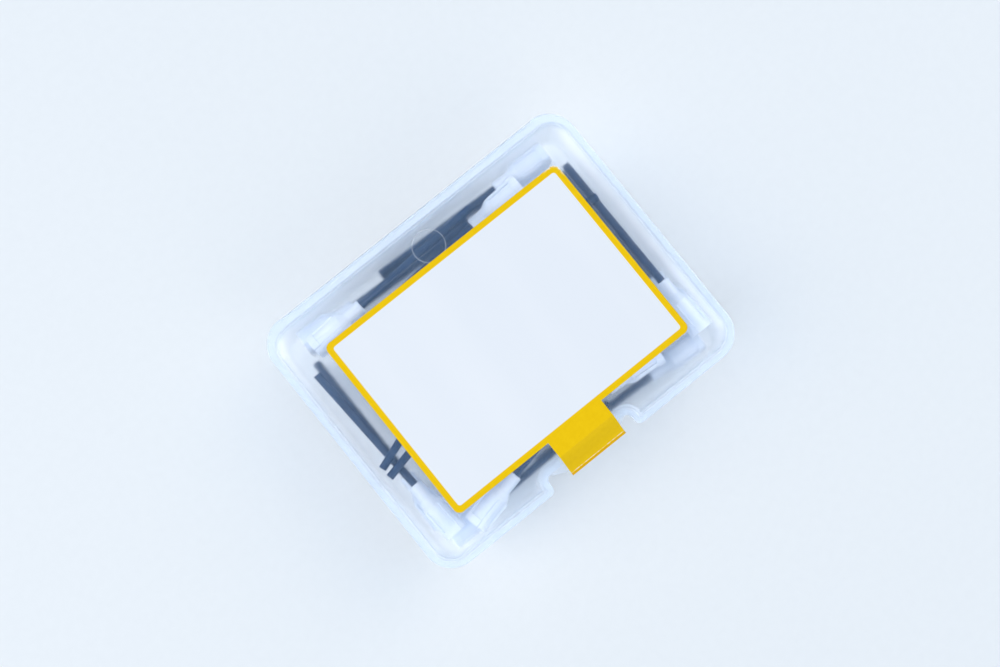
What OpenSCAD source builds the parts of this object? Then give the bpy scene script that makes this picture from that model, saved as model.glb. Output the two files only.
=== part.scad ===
// Hinged polypropylene case of fifty plastic dispensing needle tips, held shut by its label.
// Millimetres. +Z is up, +X runs along the long side and +Y points at the living hinge.
// The origin is the middle of the footprint, on the face that the case rests on.

/* [Case] */
// Length over the rim, along X
rim_l = 100; // [100:1:120]
// Width over the rim, along Y
rim_w = 80; // [80:1:96]
// Height of the closed case, without its label
case_h = 27; // [27:0.5:36]
// Corner radius of the rim, seen from above
rim_r = 8; // [7.5:0.25:9]
// Width of the rim outside the walls, at the front and the ends
flange_w = 1.5; // [1.3:0.1:2]
// Width of the rim outside the wall on the hinge side
hinge_flange_w = 2.4; // [2:0.1:3]
// Thickness of each of the two rims
flange_t = 1; // [0.8:0.1:1.2]
// Air left between the closed rims
parting_gap = 0.15; // [0.1:0.05:0.25]

/* [Tray] */
// Wall thickness of the tray
tray_wall = 1.3; // [1.2:0.05:1.4]
// Thickness of the tray's floor
floor_t = 1.2; // [1:0.1:1.4]
// Rounding of the tray's bottom edge
foot_r = 2.5; // [2:0.1:3]
// Slope of the outside of the tray's walls, in degrees
draft = 1; // [0.5:0.1:1.2]
// Height of the collar that stands up inside the lid
collar_h = 1.2; // [0.8:0.1:1.4]
// Air between the collar and the lid's wall
collar_fit = 0.1; // [0.05:0.05:0.15]

/* [Lid] */
// Height of the lid above the parting line
lid_rise = 4.2; // [4:0.1:5]
// Wall thickness of the lid
lid_wall = 0.8; // [0.7:0.05:0.85]
// Width of the lid's rounded shoulder, from its wall to its flat top
shoulder_w = 4.7; // [4:0.1:5]
// Drop of the shoulder, from the flat top to the crease over the wall
shoulder_drop = 1.5; // [1.2:0.1:1.8]
// How far the lid's wall leans in, from the rim to the crease
wall_lean = 0.2; // [0.1:0.05:0.4]
// Height of the raised field that carries the label
field_h = 0.3; // [0.2:0.05:0.5]
// Length of the raised field
field_l = 80.5; // [79:0.5:84]
// Width of the raised field
field_w = 59.5; // [58:0.5:62]
// Corner radius of the raised field
field_r = 2.5; // [2:0.25:4]

/* [Finger notch] */
// Width of the notch in the front, across the rim
notch_w = 27.5; // [24:0.5:28.5]
// Depth of the notch, from the rim's front edge
notch_d = 4.5; // [4:0.1:4.6]
// Radius of the notch's inner corners
notch_r = 1.9; // [1.2:0.1:2.6]
// Radius where the notch meets the rim's front edge
mouth_r = 1.7; // [1.6:0.1:2.2]
// How far the thumb lip's middle stays behind the rim's front edge
lip_back = 0.8; // [0.5:0.1:1.2]
// Width of the thumb lip at the bottom of the notch
lip_w = 25.4; // [22:0.2:25.6]

/* [Living hinge] */
// Length of the hinge, along X
hinge_l = 84; // [70:1:84]
// How far the folded hinge stands out from the two rims
hinge_r = 0.9; // [0.8:0.05:1]
// Thickness of the hinge's web
hinge_t = 0.35; // [0.3:0.05:0.45]

/* [Label] */
// Length of the label
label_l = 76.8; // [74:0.2:78]
// Width of the label, without its tab
label_w = 55.6; // [54:0.2:57]
// Corner radius of the label
label_r = 1.8; // [1:0.1:3]
// Thickness of the label
label_t = 0.12; // [0.08:0.02:0.2]
// How far right of the lid's middle the label is stuck
label_right = 1.2; // [0:0.1:1.4]
// How far in front of the lid's middle the label is stuck
label_front = 0.65; // [0.4:0.05:1.4]
// Width of the tab that closes the case
tab_w = 17.6; // [14:0.2:22]
// How far the tab's end hangs past the thumb lip
tab_over = 0.2; // [0:0.1:0.5]

/* [Needle tip] */
// Diameter over the two luer lugs
lug_d = 7.6; // [7.4:0.05:7.65]
// Height of the lugs, and of the rim between them
lug_h = 2; // [1.6:0.1:2.4]
// Width of each lug
lug_w = 4.4; // [3.6:0.2:5]
// Diameter of the rim between the lugs
hub_rim_d = 6.6; // [6.4:0.1:6.8]
// Diameter of the hub's barrel
barrel_d = 6; // [5.8:0.1:6.2]
// Length of the hub from its opening to the barrel's shoulder
barrel_l = 9.5; // [9:0.1:10]
// Diameter over the grip ribs
rib_d = 7; // [6.6:0.1:7.2]
// Thickness of each grip rib
rib_t = 0.9; // [0.7:0.1:1.2]
// Diameter of the hub's neck
neck_d = 3.9; // [3.6:0.1:4.2]
// Length of the hub
hub_l = 16.5; // [15.5:0.1:16.5]
// Diameter of the luer socket at its mouth
socket_d = 4.3; // [4.2:0.05:4.4]
// Depth of the luer socket
socket_l = 8; // [7.5:0.1:8.2]
// Outer diameter of the tube
tube_od = 2.1; // [1.9:0.05:2.1]
// Bore of the tube
tube_id = 1.4; // [1.2:0.05:1.5]
// Length of tube that shows past the hub
tube_l = 38.1; // [12.7:0.1:38.1]
// Air round the tube where it sits in the hub
tube_fit = 0.02; // [0.01:0.01:0.04]

/* [Filling] */
// Air left between neighbouring tips
tip_gap = 0.15; // [0.1:0.01:0.18]
// Tips side by side in each of the two lower layers
columns = 14; // [12:1:14]
// Room to spare beside the tip along each end wall
end_play = 3.3; // [3:0.1:4]
// Room to spare between the columns and the tube that passes the notch
front_play = 2; // [1.8:0.1:3]
// Room to spare between the columns and the tips along the hinge wall
hinge_play = 2.25; // [2:0.05:3]
// Room to spare over the top layer
head_play = 1.45; // [1.2:0.05:2]
// How far the tip in front of the columns lies off the front wall
front_off = 0.9; // [0.5:0.1:1]

/* [Hidden] */
$fn = 48;
TIPS_PER_NODE = 2;
// A 6% luer taper takes this much off the radius for each millimetre
LUER_SLOPE = 0.03;
// Cuts run past the faces that they open
OVER = 1;

parting_z = case_h - lid_rise;
body_l = rim_l - 2 * flange_w;
body_w = rim_w - flange_w - hinge_flange_w;
body_y = (flange_w - hinge_flange_w) / 2;
body_r = rim_r - flange_w;
foot_in = parting_z * tan(draft);
lid_top = case_h - field_h;
crease_z = lid_top - shoulder_drop;
tab_drop_y = -rim_w / 2 + notch_d + flange_w + 0.4;
lip_r = (pow(lip_w / 2, 2) + pow(notch_d - lip_back, 2)) / (2 * (notch_d - lip_back));

// Inner faces of the tray at its mouth
inner_x = rim_l / 2 - flange_w - tray_wall;
inner_front = -rim_w / 2 + flange_w + tray_wall;
inner_back = rim_w / 2 - hinge_flange_w - tray_wall;

tip_l = hub_l + tube_l;
seat_l = socket_l + 0.5;
pitch = (lug_d + tube_od) / 2 + tip_gap;
layer = lug_d + tip_gap;
LAYERS = 3;

// The room inside, and the room that the tips ask for at their named sizes.
// The tips are drawn at the largest size that suits all three of its directions.
room_l = 2 * inner_x;
room_w = inner_back - inner_front;
room_h = case_h - field_h - lid_wall - floor_t;
need_l = (columns - 1) * pitch + lug_d + 2 * (lug_d + end_play);
need_w = front_play + tube_od + 2 * tip_gap + tip_l + hinge_play + layer;
need_h = LAYERS * layer + head_play;
fit = round(10000 * min(room_l / need_l, (room_w - notch_d) / need_w, room_h / need_h)) / 10000;

spread = pitch * room_l / need_l;
block_front = inner_front + notch_d + (tube_od + 2 * tip_gap + front_play) * fit;
first_z = floor_t + (tip_gap + lug_d / 2) * fit;
wall_room = (lug_d / 2 + tip_gap) * fit;
// Along the front wall a tube turns just enough to pass the notch's inner corner
front_x = 0.45 * room_l;
front_y = inner_front + wall_room + front_off * fit;
corner_x = notch_w / 2 + flange_w + tray_wall;
corner_y = inner_front + notch_d + (tube_od / 2 + tip_gap) * fit;
front_turn = atan((corner_y - front_y) / (front_x - corner_x));

// A tip is [x, y, z, heading, climb]: where the middle of its socket's mouth lies,
// and which way the tube points, as degrees round Z and degrees up.
function column_tip(i, z) = let (x = (i - (columns - 1) / 2) * spread)
    i % 2 == 0 ? [x, block_front, z, 90, 0] : [x, block_front + tip_l * fit, z, 270, 0];

// One lower layer: the columns, a tip along each end wall, two along the hinge
// wall and one along the front wall, which points right or left.
function lower_layer(z, side) = concat(
    [for (i = [0 : columns - 1]) column_tip(i, z)],
    [[-room_l * 0.44, block_front, z, 90, 0],
     [inner_x - wall_room, block_front, z, 90, 0],
     [-room_l * 0.434, inner_back - wall_room, z, -2, 0],
     [room_l * 0.434, inner_back - wall_room, z, 178, 0],
     [side * front_x, front_y, z, 90 + side * (90 - front_turn), 0]]);

// The top layer lies loose. Each tip's mouth is given as shares of the room's length
// and width, from the middle, and as a share of a layer's height.
function loose(across, along, up, heading, climb) =
    [across * room_l, (inner_front + inner_back) / 2 + along * room_w,
     first_z + (2 + up) * layer * fit, heading, climb];

top_layer = [
    loose(-0.426, -0.428, 0, 93, 2.8),
    loose(0.451, -0.416, 0, 90.6, 1.8),
    loose(-0.417, 0.397, 0, 3.2, 4.1),
    loose(0.311, 0.401, -0.11, 183.5, 0),
    loose(0.066, 0.161, 0, 200, 4.1),
    loose(0.087, 0.035, 0, 193, 4.1),
    loose(-0.117, 0.276, 0, -7, 4.1),
    loose(-0.373, -0.446, 0, 12, 4.1),
    loose(0.318, -0.38, 0, 176.5, 0),
    loose(0.381, -0.103, -0.33, 180, 0),
    loose(0.381, -0.225, 0, 178, 0),
    loose(-0.367, -0.263, 0, 0, 0)];

tips = concat(lower_layer(first_z, 1), lower_layer(first_z + layer * fit, -1), top_layer);
groups = ceil(len(tips) / TIPS_PER_NODE);

CASE_COLOUR = [0.86, 0.91, 0.97, 0.45];
LABEL_COLOUR = [0.96, 0.80, 0.06];
HUB_COLOUR = [0.84, 0.89, 0.94];
TUBE_COLOUR = [0.20, 0.25, 0.33];

// ---- plans, seen from above ----

module rounded_plan(l, w, r) {
    square([l - 2 * r, w], center = true);
    square([l, w - 2 * r], center = true);
    for (x = [-1, 1], y = [-1, 1])
        translate([x * (l / 2 - r), y * (w / 2 - r)]) circle(r);
}

// The walls' outline, moved in by inset
module body_plan(inset) {
    translate([0, body_y]) rounded_plan(body_l - 2 * inset, body_w - 2 * inset, body_r - inset);
}

// The finger notch, its outline moved out by grow
module notch_plan(grow) {
    half = notch_w / 2 + grow;
    depth = notch_d + grow;
    r = notch_r + grow;
    m = mouth_r - grow;
    translate([0, -rim_w / 2]) {
        translate([-half, -OVER]) square([2 * half, depth - r + OVER]);
        translate([-half + r, -OVER]) square([2 * (half - r), depth + OVER]);
        for (side = [-1, 1]) translate([side * (half - r), depth - r]) circle(r);
        if (m > 0) for (side = [0, 1]) mirror([side, 0]) translate([half - OVER, -OVER])
            difference() {
                square([m + OVER, m + OVER]);
                translate([m + OVER, m + OVER]) circle(m);
            }
    }
}

// The rim's outline; the tray's rim fills part of the notch with the thumb lip
module rim_plan(lip = false) {
    difference() {
        rounded_plan(rim_l, rim_w, rim_r);
        difference() {
            notch_plan(0);
            if (lip) translate([0, -rim_w / 2 + lip_back + lip_r]) circle(lip_r, $fn = 96);
        }
        translate([-hinge_l / 2, rim_w / 2 - hinge_r]) square([hinge_l, hinge_r + OVER]);
    }
}

// ---- sections of a wall, x measured from the corner's centre ----

// A wall that leans out from a rounded foot
module tray_section(r_top, z0, z1, lean, round_r) {
    a = atan(lean / (z1 - z0));
    r0 = r_top - lean;
    cx = r0 - round_r * (1 - sin(a)) / cos(a);
    polygon([[0, z0], [cx, z0], [cx + round_r * cos(a), z0 + round_r * (1 - sin(a))],
             [r_top, z1], [0, z1]]);
    translate([cx, z0 + round_r]) circle(round_r);
}

// A short wall under a round shoulder that ends level at the top
module lid_section(r_wall, lean, r_flat, z0, z_crease, z1) {
    drop = z1 - z_crease;
    reach = r_wall - lean - r_flat;
    arc_r = (reach * reach + drop * drop) / (2 * drop);
    polygon([[0, z0], [r_wall, z0], [r_wall - lean, z_crease], [0, z_crease]]);
    translate([0, z_crease - 0.1]) square([r_flat, drop + 0.1]);
    intersection() {
        translate([r_flat, z1 - arc_r]) circle(arc_r, $fn = 96);
        translate([r_flat - 0.1, z_crease - 0.1]) square([reach + 0.1, drop + 0.1]);
    }
}

// Carries a section round the walls' outline and fills the middle
module carry_round(z0, z1) {
    cx = body_l / 2 - body_r;
    cy = body_w / 2 - body_r;
    translate([0, body_y, 0]) {
        translate([-cx, -cy, z0]) cube([2 * cx, 2 * cy, z1 - z0]);
        for (k = [0 : 3]) {
            x = (k == 0 || k == 3) ? cx : -cx;
            y = k < 2 ? cy : -cy;
            run = k % 2 == 0 ? 2 * cx : 2 * cy;
            translate([x, y, 0]) rotate([0, 0, 90 * k]) rotate_extrude(angle = 90) children();
            translate([x, y, 0]) rotate([0, 0, 90 * k]) rotate([90, 0, 90])
                mirror([0, 0, 1]) linear_extrude(run) children();
        }
    }
}

// ---- the case: one moulding, tray and lid joined by the living hinge ----

module above_plan(z0, z1) {
    translate([0, 0, z0]) linear_extrude(z1 - z0) children();
}

module tray() {
    top = parting_z - parting_gap / 2;
    cavity_top = top + collar_h + OVER;
    collar_in = lid_wall + collar_fit;
    difference() {
        union() {
            difference() {
                carry_round(0, top) tray_section(body_r, 0, top, foot_in, foot_r);
                above_plan(-OVER, top + OVER) notch_plan(flange_w);
            }
            above_plan(top - flange_t, top) rim_plan(lip = true);
            above_plan(top - flange_t, top + collar_h) difference() {
                body_plan(collar_in);
                notch_plan(flange_w + collar_in);
            }
        }
        difference() {
            carry_round(floor_t, cavity_top)
                tray_section(body_r - tray_wall, floor_t, cavity_top, 0, foot_r - floor_t);
            above_plan(0, cavity_top + OVER) notch_plan(flange_w + tray_wall);
        }
    }
}

module lid() {
    base = parting_z + parting_gap / 2;
    difference() {
        union() {
            difference() {
                carry_round(base, lid_top)
                    lid_section(body_r, wall_lean, body_r - shoulder_w, base, crease_z, lid_top);
                above_plan(0, case_h + OVER) notch_plan(flange_w);
            }
            above_plan(base, base + flange_t) rim_plan();
            above_plan(lid_top - lid_wall / 2, case_h) translate([0, body_y])
                rounded_plan(field_l, field_w, field_r);
        }
        difference() {
            carry_round(base - OVER, lid_top - lid_wall)
                lid_section(body_r - lid_wall, wall_lean, body_r - shoulder_w, base - OVER,
                    crease_z - lid_wall / 2, lid_top - lid_wall);
            above_plan(0, case_h) notch_plan(flange_w + lid_wall);
        }
    }
}

module living_hinge() {
    root = rim_w / 2 - hinge_r;
    translate([-hinge_l / 2, root, parting_z]) rotate([90, 0, 90]) linear_extrude(hinge_l) {
        intersection() {
            difference() {
                circle(hinge_r);
                circle(hinge_r - hinge_t);
            }
            translate([0, -hinge_r]) square([hinge_r, 2 * hinge_r]);
        }
        for (side = [-1, 1]) translate([-0.2, side > 0 ? hinge_r - hinge_t : -hinge_r])
            square([0.2, hinge_t]);
    }
}

module hinged_case() {
    color(CASE_COLOUR) union() {
        tray();
        lid();
        living_hinge();
    }
}

// ---- the label: a sheet with a tab that drops to the thumb lip ----

label_y = body_y - label_front;
tab_root = label_y - label_w / 2;
tab_end = -rim_w / 2 + lip_back - tab_over;
lip_top = parting_z - parting_gap / 2;
lip_seat = -rim_w / 2 + lip_back + 0.6;

// Mostly a straight slope, eased a little at both ends
function ease(u) = u < 0 ? 0 : u > 1 ? 1 : 0.6 * u + 0.4 * u * u * (3 - 2 * u);
function tab_z(y) = case_h - (case_h - lip_top) * ease((tab_drop_y - y) / (tab_drop_y - lip_seat));

module label() {
    steps = 12;
    ys = [for (k = [0 : steps]) tab_drop_y + (lip_seat - tab_drop_y) * k / steps];
    low = concat([[tab_root + 1, case_h]], [for (y = ys) [y, tab_z(y)]], [[tab_end, lip_top]]);
    high = [for (k = [len(low) - 1 : -1 : 0]) low[k] + [0, label_t]];
    color(LABEL_COLOUR) union() {
        translate([label_right, label_y, case_h]) linear_extrude(label_t)
            rounded_plan(label_l, label_w, label_r);
        translate([label_right - tab_w / 2, 0, 0]) rotate([90, 0, 90])
            linear_extrude(tab_w) polygon(concat(low, high));
    }
}

// ---- one needle tip, standing on its socket's mouth ----

module tip_hub() {
    seat_r = tube_od / 2 + tube_fit;
    socket_end_r = socket_d / 2 - LUER_SLOPE * socket_l;
    color(HUB_COLOUR) difference() {
        union() {
            linear_extrude(lug_h) {
                circle(d = hub_rim_d);
                intersection() {
                    circle(d = lug_d);
                    square([lug_d, lug_w], center = true);
                }
            }
            rotate_extrude() polygon([[0, 0], [barrel_d / 2, 0], [barrel_d / 2, barrel_l],
                [neck_d / 2, barrel_l + 2.2], [neck_d / 2, hub_l - 0.3], [neck_d / 2 - 0.3, hub_l],
                [0, hub_l]]);
            for (turn = [45, 135]) rotate([0, 0, turn]) translate([-rib_d / 2, -rib_t / 2, lug_h])
                cube([rib_d, rib_t, barrel_l - lug_h - 0.6]);
        }
        rotate_extrude() polygon([[0, -OVER], [socket_d / 2 + LUER_SLOPE * OVER, -OVER],
            [socket_end_r, socket_l], [tube_id / 2, socket_l], [tube_id / 2, seat_l],
            [seat_r, seat_l], [seat_r, hub_l + OVER], [0, hub_l + OVER]]);
    }
}

module tip_tube() {
    color(TUBE_COLOUR) translate([0, 0, seat_l]) difference() {
        cylinder(d = tube_od, h = tip_l - seat_l);
        translate([0, 0, -OVER]) cylinder(d = tube_id, h = tip_l - seat_l + 2 * OVER);
    }
}

// Lays its child down as tip i lies, turned a little round its own axis
module lay(i) {
    t = tips[i];
    spin = 12 * ((i * 7) % 5 - 2);
    translate([t[0], t[1], t[2]]) rotate([0, 90 - t[4], t[3]]) rotate([0, 0, spin])
        scale(fit) children();
}

module hubs(g) {
    for (i = [(g - 1) * TIPS_PER_NODE : min(g * TIPS_PER_NODE, len(tips)) - 1]) lay(i) tip_hub();
}

module tubes(g) {
    for (i = [(g - 1) * TIPS_PER_NODE : min(g * TIPS_PER_NODE, len(tips)) - 1]) lay(i) tip_tube();
}

hinged_case();
label();
for (g = [1 : groups]) {
    hubs(g);
    tubes(g);
}
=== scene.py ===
"""Materials, light and camera for a closed case of dispensing needle tips.

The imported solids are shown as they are, and no shape is added. Lengths are in metres.
"""
import math

import bmesh
import bpy
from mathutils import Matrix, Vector


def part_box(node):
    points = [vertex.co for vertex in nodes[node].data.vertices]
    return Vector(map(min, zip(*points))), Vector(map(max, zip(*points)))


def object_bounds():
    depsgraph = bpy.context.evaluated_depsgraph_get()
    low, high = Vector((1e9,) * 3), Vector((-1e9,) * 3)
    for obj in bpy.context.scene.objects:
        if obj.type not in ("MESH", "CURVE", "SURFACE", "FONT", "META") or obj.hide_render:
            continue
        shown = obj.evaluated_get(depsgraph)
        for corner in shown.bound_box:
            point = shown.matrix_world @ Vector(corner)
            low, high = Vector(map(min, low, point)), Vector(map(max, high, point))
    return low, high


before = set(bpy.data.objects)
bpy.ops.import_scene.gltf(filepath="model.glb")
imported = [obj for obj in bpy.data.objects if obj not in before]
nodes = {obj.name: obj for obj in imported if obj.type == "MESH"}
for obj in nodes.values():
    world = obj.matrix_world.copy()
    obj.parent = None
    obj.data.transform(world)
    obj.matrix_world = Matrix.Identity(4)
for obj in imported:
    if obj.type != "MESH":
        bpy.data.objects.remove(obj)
cad_low, cad_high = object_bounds()

MM = 0.001

# ---- camera: nearly overhead, turned so that the case lies across the frame ----

CAMERA_AZIMUTH = -38.81
CAMERA_ELEVATION = 84.86
CAMERA_DISTANCE = 521 * MM
CAMERA_TARGET = Vector((0.78, 1.28, 22.0)) * MM
CAMERA_LENS = 71.9
CAMERA_SENSOR = 36
NEAREST, FARTHEST = 0.01, 10


def make_camera():
    data = bpy.data.cameras.new("camera")
    cam = bpy.data.objects.new("camera", data)
    bpy.context.scene.collection.objects.link(cam)
    a, e = math.radians(CAMERA_AZIMUTH), math.radians(CAMERA_ELEVATION)
    back = Vector((math.sin(a) * math.cos(e), -math.cos(a) * math.cos(e), math.sin(e)))
    cam.location = CAMERA_TARGET + back * CAMERA_DISTANCE
    cam.rotation_mode = "QUATERNION"
    cam.rotation_quaternion = (-back).to_track_quat("-Z", "Y")
    data.sensor_width = CAMERA_SENSOR
    data.lens = CAMERA_LENS
    data.clip_start, data.clip_end = NEAREST, FARTHEST
    bpy.context.scene.camera = cam


# ---- node materials ----

# most values of a noise lie between these two
NOISE_LOW, NOISE_HIGH = 0.3, 0.7
# the Mix node's colour sockets
MIX_A, MIX_B, MIX_RESULT = 6, 7, 2
# axes, as places in a vector
X, Z = 0, 2


class Nodes:
    """A new material's node tree, with short ways to add to it."""

    def __init__(self, name):
        self.mat = bpy.data.materials.new(name)
        self.mat.use_nodes = True
        self.tree = self.mat.node_tree
        self.tree.nodes.clear()
        self.output = self.tree.nodes.new("ShaderNodeOutputMaterial")

    def put(self, value, socket):
        """Link a socket to this one, or set this one to a plain value."""
        if isinstance(value, bpy.types.NodeSocket):
            self.tree.links.new(value, socket)
        else:
            socket.default_value = value

    def add(self, kind, out=0, **inputs):
        node = self.tree.nodes.new("ShaderNode" + kind)
        for key, value in inputs.items():
            self.put(value, node.inputs[key.replace("_", " ")])
        return node.outputs[out]

    def fill(self, node, *values):
        for value, socket in zip(values, node.inputs):
            self.put(value, socket)
        return node.outputs[0]

    def math(self, operation, *values):
        node = self.tree.nodes.new("ShaderNodeMath")
        node.operation = operation
        return self.fill(node, *values)

    def place(self):
        return self.add("TexCoord", out="Object")

    def facing(self, axis):
        """How far the surface faces along an axis, either way, from 0 to 1."""
        return self.math("ABSOLUTE", self.split(self.add("TexCoord", out="Normal"))[axis])

    def split(self, vector):
        node = self.tree.nodes.new("ShaderNodeSeparateXYZ")
        self.put(vector, node.inputs[0])
        return node.outputs

    def noise(self, vector, scale, detail=2.0):
        return self.add("TexNoise", Vector=vector, Scale=scale, Detail=detail, Roughness=0.5)

    def ramp(self, value, low, high, to_low=0.0, to_high=1.0):
        node = self.tree.nodes.new("ShaderNodeMapRange")
        return self.fill(node, value, low, high, to_low, to_high)

    def vary(self, noise, low=0.0, high=1.0):
        """A value that wanders between low and high with a noise."""
        return self.ramp(noise, NOISE_LOW, NOISE_HIGH, low, high)

    def mix(self, factor, a, b):
        node = self.tree.nodes.new("ShaderNodeMix")
        node.data_type = "RGBA"
        self.put(factor, node.inputs[0])
        self.put(a, node.inputs[MIX_A])
        self.put(b, node.inputs[MIX_B])
        return node.outputs[MIX_RESULT]

    def mix_shader(self, factor, a, b):
        return self.fill(self.tree.nodes.new("ShaderNodeMixShader"), factor, a, b)

    def length(self, a, b):
        squares = self.math("ADD", self.math("MULTIPLY", a, a), self.math("MULTIPLY", b, b))
        return self.math("SQRT", squares)

    def stretch(self, vector, scale, turn):
        node = self.tree.nodes.new("ShaderNodeMapping")
        self.put(vector, node.inputs["Vector"])
        node.inputs["Scale"].default_value = scale
        node.inputs["Rotation"].default_value = (0.0, 0.0, turn)
        return node.outputs[0]

    def bump(self, height, strength, distance):
        return self.add("Bump", Height=height, Strength=strength, Distance=distance)

    def finish(self, shader, passing=None):
        """End the material. Shadow rays pass at the tint, so that thin plastic or paper glows."""
        if passing:
            clear = self.add("BsdfTransparent", Color=passing)
            shader = self.mix_shader(self.add("LightPath", out="Is Shadow Ray"), shader, clear)
        self.put(shader, self.output.inputs["Surface"])
        return self.mat


def rounded_distance(n, x, y, centre, half, radius):
    """Signed distance from the outline of a rounded rectangle, negative inside."""
    qx = n.math("SUBTRACT", n.math("ABSOLUTE", n.math("SUBTRACT", x, centre[0])), half[0] - radius)
    qy = n.math("SUBTRACT", n.math("ABSOLUTE", n.math("SUBTRACT", y, centre[1])), half[1] - radius)
    outside = n.length(n.math("MAXIMUM", qx, 0.0), n.math("MAXIMUM", qy, 0.0))
    inside = n.math("MINIMUM", n.math("MAXIMUM", qx, qy), 0.0)
    return n.math("SUBTRACT", n.math("ADD", outside, inside), radius)


# the moulded grain of case, hubs and tubes has one depth
GRAIN_DEPTH = 0.1 * MM

# a faint round mark in the lid near the hinge, and the heights between which it fades in
RING_PLACE = (0.4 * MM, 30.3 * MM)
RING_RADIUS = 4.4 * MM
RING_REACH, RING_LINE = 0.22 * MM, 0.05 * MM
RING_FROM, RING_TO = 25.8 * MM, 26.4 * MM
RING_HAZE = 0.3

# the case's clear part: its grain and flow, and what they do to its roughness and bumps
CASE_CLEAR = (0.985, 0.995, 1.0, 1)
CASE_GRAIN_SCALE, CASE_GRAIN_DETAIL = 2600.0, 3.0
CASE_FLOW_SCALE = 60.0
CASE_ROUGHNESS = (0.18, 0.24)
CASE_GRAIN_ROUGHNESS = 0.02
CASE_BUMP = 0.12
CASE_IOR = 1.3
# its haze: how it glows and scatters, and how much of it there is, where the wall is flat or thick
FLAT_GLOW, THICK_GLOW = (0.84, 0.94, 1.0, 1), (0.96, 0.98, 1.0, 1)
FLAT_WHITE, THICK_WHITE = (0.30, 0.58, 1.0, 1), (0.92, 0.945, 0.98, 1)
WHITE_SHARE = 0.55
FLAT_HAZE = (0.05, 0.08)
THICK_HAZE = 0.45
CASE_PASSING = (0.955, 0.972, 0.997, 1)
# how far a flat face and a steep one look up or down, and the heights between which, going
# down from the lid to the rims and the tray, the plastic turns milky
FLAT_FACES, STEEP_FACES = 0.95, 0.3
MILKY_FROM, MILKY_TO = 24.5 * MM, 21.5 * MM
DEEP_PART = 0.7


def case_plastic():
    """The lid's flat top scatters a little blue; steep walls, the rims and the tray are milky."""
    n = Nodes("case_plastic")
    place = n.place()
    x, y, z = n.split(place)
    grain = n.noise(place, CASE_GRAIN_SCALE, CASE_GRAIN_DETAIL)
    flow = n.noise(place, CASE_FLOW_SCALE)
    reach = n.length(n.math("SUBTRACT", x, RING_PLACE[0]), n.math("SUBTRACT", y, RING_PLACE[1]))
    off_ring = n.math("ABSOLUTE", n.math("SUBTRACT", reach, RING_RADIUS))
    ring = n.math("MULTIPLY", n.ramp(off_ring, RING_REACH, RING_LINE), n.ramp(z, RING_FROM, RING_TO))
    rough = n.math("ADD", n.vary(flow, *CASE_ROUGHNESS),
                   n.vary(grain, -CASE_GRAIN_ROUGHNESS, CASE_GRAIN_ROUGHNESS))
    normal = n.bump(grain, CASE_BUMP, GRAIN_DEPTH)
    clear = n.add("BsdfPrincipled", Base_Color=CASE_CLEAR, Roughness=rough, IOR=CASE_IOR,
                  Transmission_Weight=1.0, Normal=normal)

    steep = n.ramp(n.facing(Z), FLAT_FACES, STEEP_FACES)
    deep = n.ramp(z, MILKY_FROM, MILKY_TO)
    thick = n.math("MAXIMUM", steep, n.math("MULTIPLY", deep, DEEP_PART))
    whiter = n.math("MAXIMUM", n.math("MAXIMUM", steep, deep), ring)
    milk = n.add("BsdfTranslucent", Color=n.mix(whiter, FLAT_GLOW, THICK_GLOW), Normal=normal)
    white = n.add("BsdfDiffuse", Color=n.mix(whiter, FLAT_WHITE, THICK_WHITE), Normal=normal)
    haze = n.mix_shader(WHITE_SHARE, milk, white)
    share = n.math("ADD", n.vary(flow, *FLAT_HAZE), n.math("MULTIPLY", ring, RING_HAZE))
    share = n.math("ADD", share, n.math("MULTIPLY", thick, THICK_HAZE))
    return n.finish(n.mix_shader(share, clear, haze), CASE_PASSING)


# the label's sheet and its border, and how sharp the print's edge is
LABEL_WIDTH = 55.6 * MM
LABEL_RADIUS = 1.8 * MM
BORDER = 1.65 * MM
FIELD_RADIUS = 0.8 * MM
PRINT_EDGE = 0.06 * MM
YELLOWS = (0.82, 0.51, 0.001, 1), (0.85, 0.54, 0.002, 1)
WHITES = (0.765, 0.785, 0.815, 1), (0.79, 0.805, 0.83, 1)
# paper fibres, the cloudy waves of the sheet and the chips in its print; the chips' noise also breaks
# up the painted highlight along the tab's fold
FIBRE_SCALE, FIBRE_DETAIL = 900.0, 3.0
CLOUD_STRETCH, CLOUD_TURN = (60.0, 14.0, 60.0), 0.1
CLOUD_RANGE = (0.35, 0.65)
CHIP_AND_GLINT_SCALE = 1700.0
LABEL_ROUGHNESS = (0.38, 0.5)
LABEL_GLOSS = 0.1
FIBRE_HEIGHT, LABEL_BUMP, LABEL_BUMP_DEPTH = 0.2, 0.25, 0.4 * MM
LABEL_PASSING = (0.68, 0.73, 0.80, 1)
# faces that look this far sideways are cut edges
CUT_FACES = (0.5, 0.7)
# bare paper where the print is worn, also used as a painted highlight along the tab's fold, and
# painted shade darkening the end of the tab beyond its fold
BARE_PAPER_AND_HIGHLIGHT = (0.80, 0.82, 0.80, 1)
TAB_END_SHADE = (0.55, 0.27, 0.0, 1)
TAB_END_SHADE_SHARE = 0.55
# the worn corner: nothing beyond the first reach, all within the second, and only near the outline
WORN_REACH = (4.2 * MM, 2.2 * MM)
WORN_BAND = (-0.55 * MM, -0.1 * MM)
WORN_CHIPS = (0.40, 0.50)
# the fold: its distance from the tab's end, the width of the painted highlight along it and how
# broken that highlight is
FOLD_PLACE = 0.75 * MM
FOLD_HIGHLIGHT_WIDTH = (0.12 * MM, 0.03 * MM)
FOLD_HIGHLIGHT_BREAKS = (0.40, 0.60, 0.1, 0.8)
# where the painted shade on the tab's end beyond the fold is full
END_SHADE_FULL = 0.55 * MM


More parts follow.
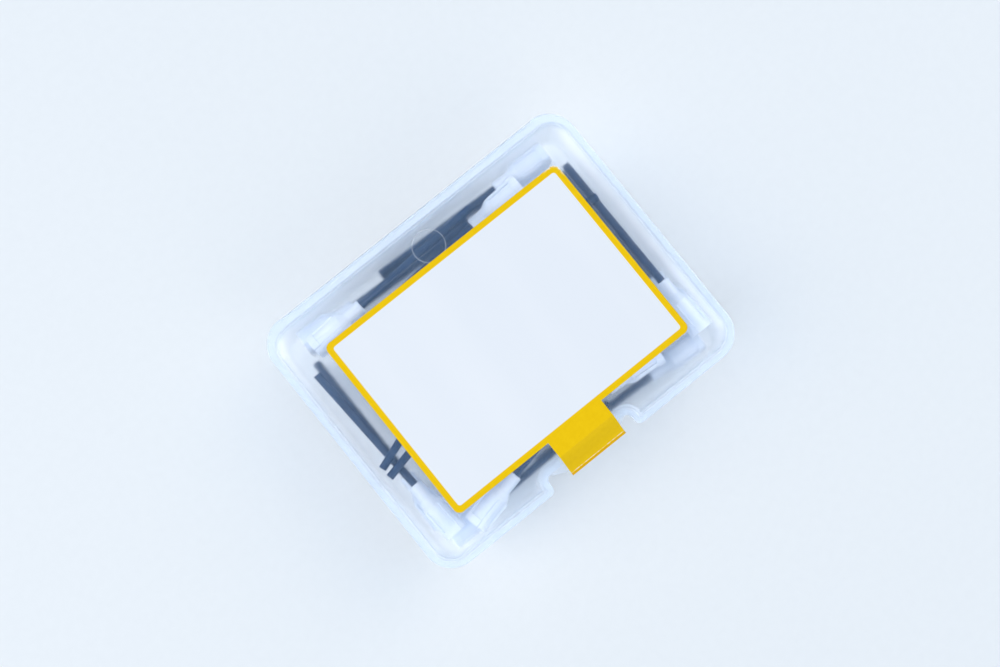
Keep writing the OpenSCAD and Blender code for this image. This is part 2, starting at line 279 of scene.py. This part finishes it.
def label_sheet():
    n = Nodes("label_sheet")
    place = n.place()
    x, y, _ = n.split(place)
    low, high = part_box("label")
    centre = ((low.x + high.x) / 2, high.y - LABEL_WIDTH / 2)
    half = ((high.x - low.x) / 2, LABEL_WIDTH / 2)
    field = rounded_distance(n, x, y, centre, (half[0] - BORDER, half[1] - BORDER), FIELD_RADIUS)
    outline = rounded_distance(n, x, y, centre, half, LABEL_RADIUS)
    fibre = n.noise(place, FIBRE_SCALE, FIBRE_DETAIL)
    cloud = n.noise(n.stretch(place, CLOUD_STRETCH, CLOUD_TURN), 1.0)
    chip_and_glint_noise = n.noise(place, CHIP_AND_GLINT_SCALE)

    white = n.mix(n.ramp(cloud, *CLOUD_RANGE), *WHITES)
    yellow = n.mix(n.vary(fibre), *YELLOWS)
    colour = n.mix(n.ramp(field, -PRINT_EDGE, PRINT_EDGE), white, yellow)

    # print worn off the corner beside the hinge, and a painted highlight where the tab bends over the
    # lip
    corner = n.length(n.math("SUBTRACT", x, high.x), n.math("SUBTRACT", y, high.y))
    worn = n.math("MULTIPLY", n.ramp(corner, *WORN_REACH), n.ramp(outline, *WORN_BAND))
    worn = n.math("MULTIPLY", worn, n.ramp(chip_and_glint_noise, *WORN_CHIPS))
    from_end = n.math("SUBTRACT", y, low.y)
    off_fold = n.math("ABSOLUTE", n.math("SUBTRACT", from_end, FOLD_PLACE))
    # painted highlight: a pale, broken line along the tab's fold
    fold_highlight = n.math("MULTIPLY", n.ramp(off_fold, *FOLD_HIGHLIGHT_WIDTH), n.ramp(chip_and_glint_noise, *FOLD_HIGHLIGHT_BREAKS))
    # painted shade: the end of the tab beyond its fold is darkened
    end_shade = n.math("MULTIPLY", n.ramp(from_end, FOLD_PLACE, END_SHADE_FULL), TAB_END_SHADE_SHARE)
    colour = n.mix(end_shade, colour, TAB_END_SHADE)
    colour = n.mix(n.math("MAXIMUM", worn, fold_highlight), colour, BARE_PAPER_AND_HIGHLIGHT)
    # the cut edges at the two ends and along the tab show bare paper
    colour = n.mix(n.ramp(n.facing(X), *CUT_FACES), colour, WHITES[0])

    height = n.math("ADD", n.math("MULTIPLY", fibre, FIBRE_HEIGHT), cloud)
    sheet = n.add("BsdfPrincipled", Base_Color=colour, Roughness=n.vary(fibre, *LABEL_ROUGHNESS),
                  Specular_IOR_Level=LABEL_GLOSS, Normal=n.bump(height, LABEL_BUMP, LABEL_BUMP_DEPTH))
    return n.finish(sheet, LABEL_PASSING)


# the tips: pale, slightly clear hubs and dark tubes
TIP_GRAIN_SCALE, TIP_BUMP = 1500.0, 0.1
HUB_COLOURS = (0.72, 0.79, 0.89, 1), (0.82, 0.87, 0.95, 1)
HUB_FLOW_SCALE = 120.0
HUB_ROUGHNESS = (0.28, 0.4)
HUB_CLEARNESS, HUB_IOR = 0.35, 1.4
HUB_PASSING = (0.88, 0.91, 0.95, 1)
TUBE_COLOURS = (0.006, 0.022, 0.065, 1), (0.010, 0.034, 0.095, 1)
TUBE_FLOW_SCALE = 90.0
TUBE_ROUGHNESS = (0.3, 0.42)
TUBE_GLOSS = 0.3
TUBE_PASSING = (0.60, 0.66, 0.76, 1)


def tip_plastic(name, flow_scale, colours, roughness, passing, **looks):
    """Hubs and tubes: a fine grain, and a colour that flows between two near ones."""
    n = Nodes(name)
    place = n.place()
    grain = n.noise(place, TIP_GRAIN_SCALE)
    flow = n.noise(place, flow_scale)
    skin = n.add("BsdfPrincipled", Base_Color=n.mix(n.vary(flow), *colours),
                 Roughness=n.vary(grain, *roughness), Normal=n.bump(grain, TIP_BUMP, GRAIN_DEPTH),
                 **looks)
    return n.finish(skin, passing)


FLOOR_COLOURS = (0.775, 0.795, 0.805, 1), (0.785, 0.805, 0.815, 1)
FLOOR_GRAIN_SCALE = 400.0
FLOOR_ROUGHNESS = 0.6


def floor_paint():
    n = Nodes("floor_paint")
    colour = n.mix(n.vary(n.noise(n.place(), FLOOR_GRAIN_SCALE)), *FLOOR_COLOURS)
    return n.finish(n.add("BsdfPrincipled", Base_Color=colour, Roughness=FLOOR_ROUGHNESS))


def dress(obj, mat):
    obj.data.materials.clear()
    obj.data.materials.append(mat)


# ---- floor and light ----

FLOOR_SIZE = 3.0
FLOOR_GAP = 0.1 * MM

# two soft lights at the case's ends, and a weaker one in front for the label's tab:
# name, direction, distance and power in watts
LIGHTS = (("key", (-0.92, 0.50, 0.85), 1.4, 10.6),
          ("fill", (1.1, 0.05, 0.9), 1.6, 9.9),
          ("front", (0.1, -1.0, 0.7), 1.6, 5.4))
LIGHT_SIZE = 1.2
LIGHT_COLOUR = (1.0, 0.94, 0.88)
WORLD_COLOUR = (0.65, 0.81, 1.0, 1)
WORLD_STRENGTH = 0.64


def make_floor():
    mesh = bpy.data.meshes.new("floor")
    bm = bmesh.new()
    bmesh.ops.create_grid(bm, x_segments=1, y_segments=1, size=FLOOR_SIZE)
    bm.to_mesh(mesh)
    bm.free()
    floor = bpy.data.objects.new("floor", mesh)
    floor.location.z = cad_low.z - FLOOR_GAP
    bpy.context.scene.collection.objects.link(floor)
    dress(floor, floor_paint())


def make_light(name, towards, distance, watts):
    data = bpy.data.lights.new(name, "AREA")
    data.shape, data.size, data.energy, data.color = "DISK", LIGHT_SIZE, watts, LIGHT_COLOUR
    light = bpy.data.objects.new(name, data)
    direction = Vector(towards).normalized()
    light.location = direction * distance
    light.rotation_mode = "QUATERNION"
    light.rotation_quaternion = (-direction).to_track_quat("-Z", "Y")
    bpy.context.scene.collection.objects.link(light)


def make_world():
    world = bpy.data.worlds.new("studio")
    bpy.context.scene.world = world
    world.use_nodes = True
    background = world.node_tree.nodes["Background"]
    background.inputs["Color"].default_value = WORLD_COLOUR
    background.inputs["Strength"].default_value = WORLD_STRENGTH


make_camera()
bpy.context.scene.view_settings.view_transform = "Standard"
case_mat, label_mat = case_plastic(), label_sheet()
hub_mat = tip_plastic("hub_plastic", HUB_FLOW_SCALE, HUB_COLOURS, HUB_ROUGHNESS, HUB_PASSING,
                      Transmission_Weight=HUB_CLEARNESS, IOR=HUB_IOR)
tube_mat = tip_plastic("tube_plastic", TUBE_FLOW_SCALE, TUBE_COLOURS, TUBE_ROUGHNESS, TUBE_PASSING,
                       Specular_IOR_Level=TUBE_GLOSS)
for name, obj in nodes.items():
    if name == "hinged_case":
        dress(obj, case_mat)
    elif name == "label":
        dress(obj, label_mat)
    elif name.startswith("hubs_"):
        dress(obj, hub_mat)
    else:
        dress(obj, tube_mat)
make_floor()
for light in LIGHTS:
    make_light(*light)
make_world()
